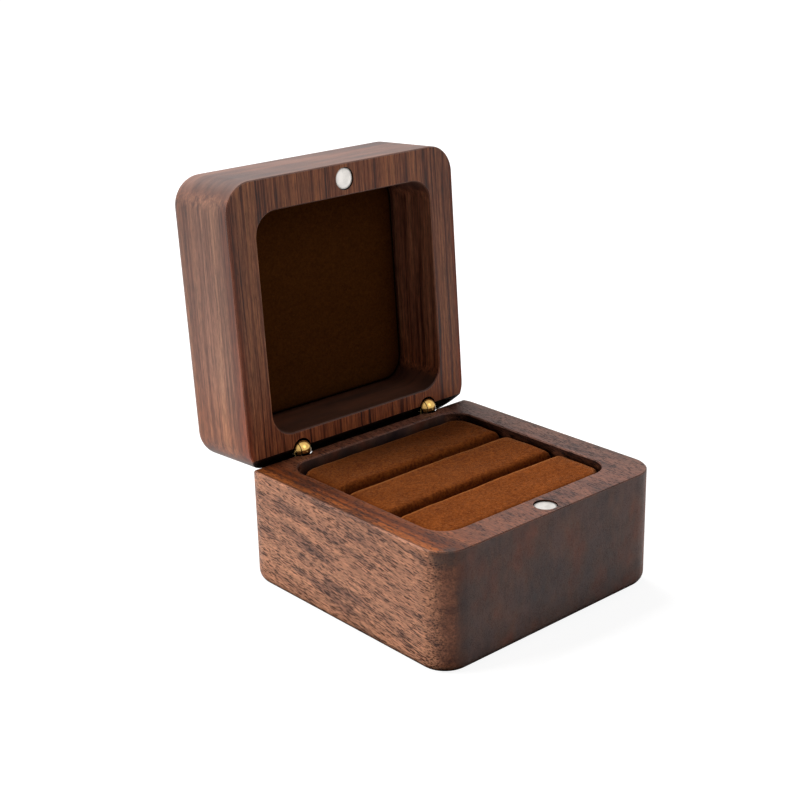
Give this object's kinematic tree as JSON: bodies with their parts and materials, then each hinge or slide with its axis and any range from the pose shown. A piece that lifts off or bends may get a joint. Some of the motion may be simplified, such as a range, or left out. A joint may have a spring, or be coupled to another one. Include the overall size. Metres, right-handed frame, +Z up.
{
  "type": "ring display box",
  "caption": "Hinged wooden ring box: round-cornered base with a padded ring cushion, deep lid with felt-lined recess, concealed barrel hinges and magnetic closure.",
  "frame": {"origin": "centre of the base block's flat underside, the surface the box stands on", "axes": "+X to the right along the front, +Y from the front to the hinged back, +Z up; the lid stands open at rest"},
  "size_m": [0.065, 0.0863, 0.0904],
  "materials": {
    "walnut": "fine-sanded, oiled matte",
    "nickel": "satin nickel plate",
    "card": "plain card",
    "suede": "brushed suede",
    "felt": "fine nap",
    "brass": "polished"
  },
  "bodies": {
    "base": {"base_box": "walnut", "base_magnet": "nickel", "cushion_board": "card", "roll_front": "suede", "roll_middle": "suede", "roll_rear": "suede", "base_barrel_left": "brass", "base_barrel_right": "brass", "hinge_pin_left": "brass", "hinge_pin_right": "brass"},
    "lid": {"lid_box": "walnut", "lid_magnet": "nickel", "lid_board": "card", "lid_felt": "felt", "lid_barrel_left": "brass", "lid_barrel_right": "brass"}
  },
  "joints": [
    {"name": "lid_hinge", "type": "hinge", "parent": "base", "child": "lid", "pos_m": [0, 0.02975, 0.0282], "axis": [1, 0, 0], "range_deg": [0, 93.4]}
  ]
}
